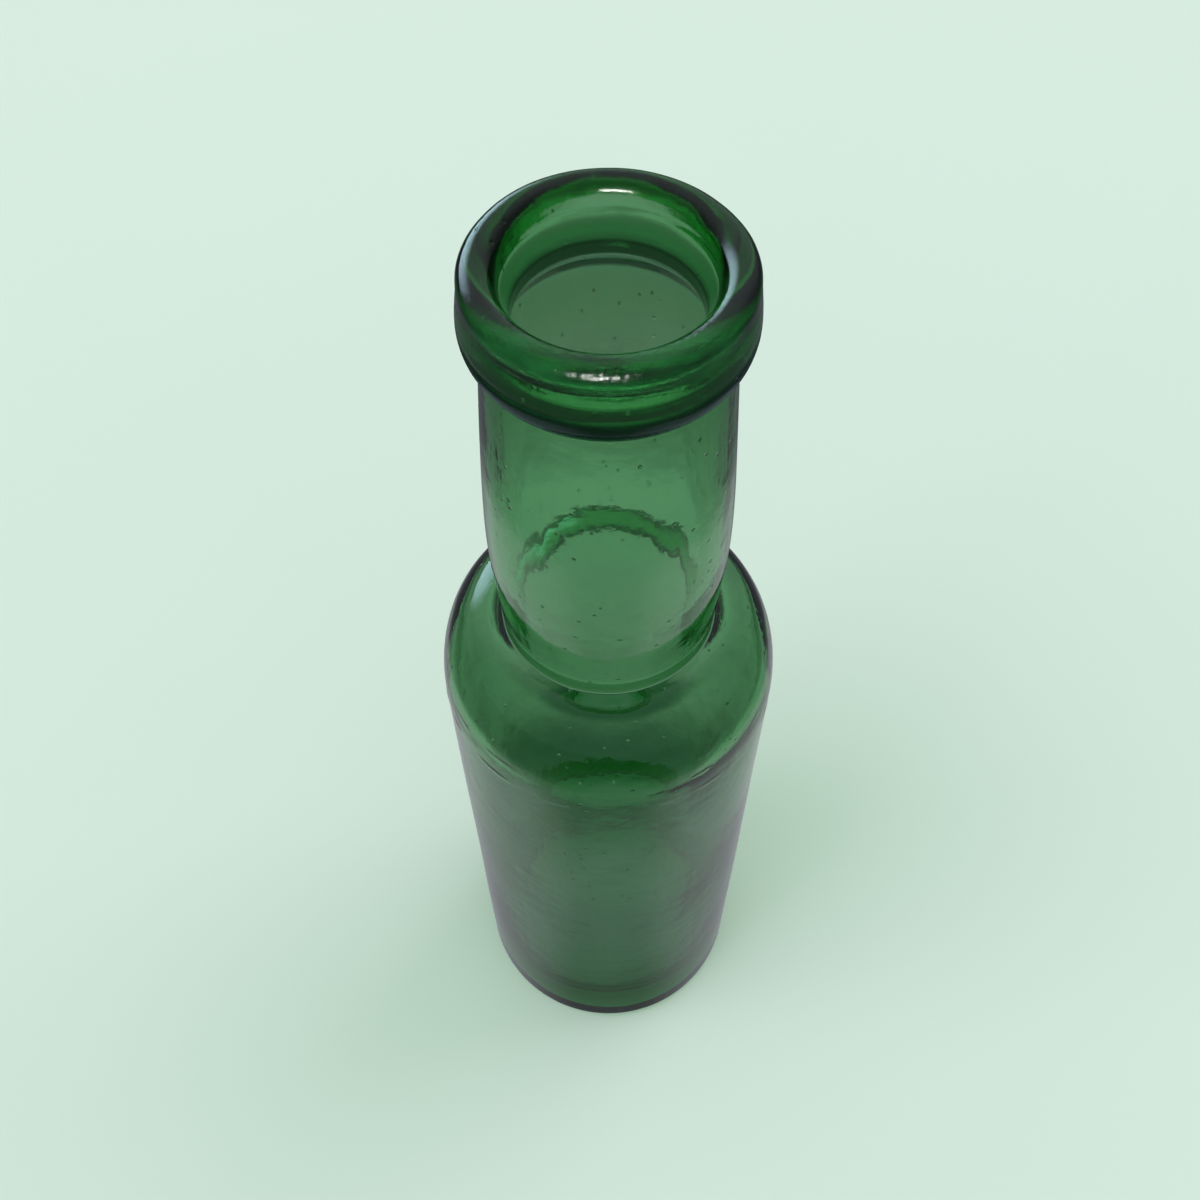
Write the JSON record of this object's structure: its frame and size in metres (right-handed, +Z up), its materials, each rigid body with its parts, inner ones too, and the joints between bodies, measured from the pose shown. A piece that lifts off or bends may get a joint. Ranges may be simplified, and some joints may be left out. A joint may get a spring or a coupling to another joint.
{
  "type": "glass bottle",
  "caption": "Tall round green glass bottle with an upright side, short rounded shoulder, long slightly swollen neck and a rounded applied lip.",
  "frame": {"origin": "centre of the base ring that the bottle stands on", "axes": "+Z up along the bottle's axis, from base to mouth; X and Y are arbitrary on a round bottle"},
  "size_m": [0.062, 0.062, 0.228],
  "materials": {
    "body_glass": "blown green glass, glossy, slightly wavy, with seeds and faint mould marks",
    "lip_glass": "thick green glass, fire-polished, with tool streaks running round it"
  },
  "bodies": {
    "root": {"bottle_body": "body_glass", "applied_lip": "lip_glass"}
  },
  "joints": []
}
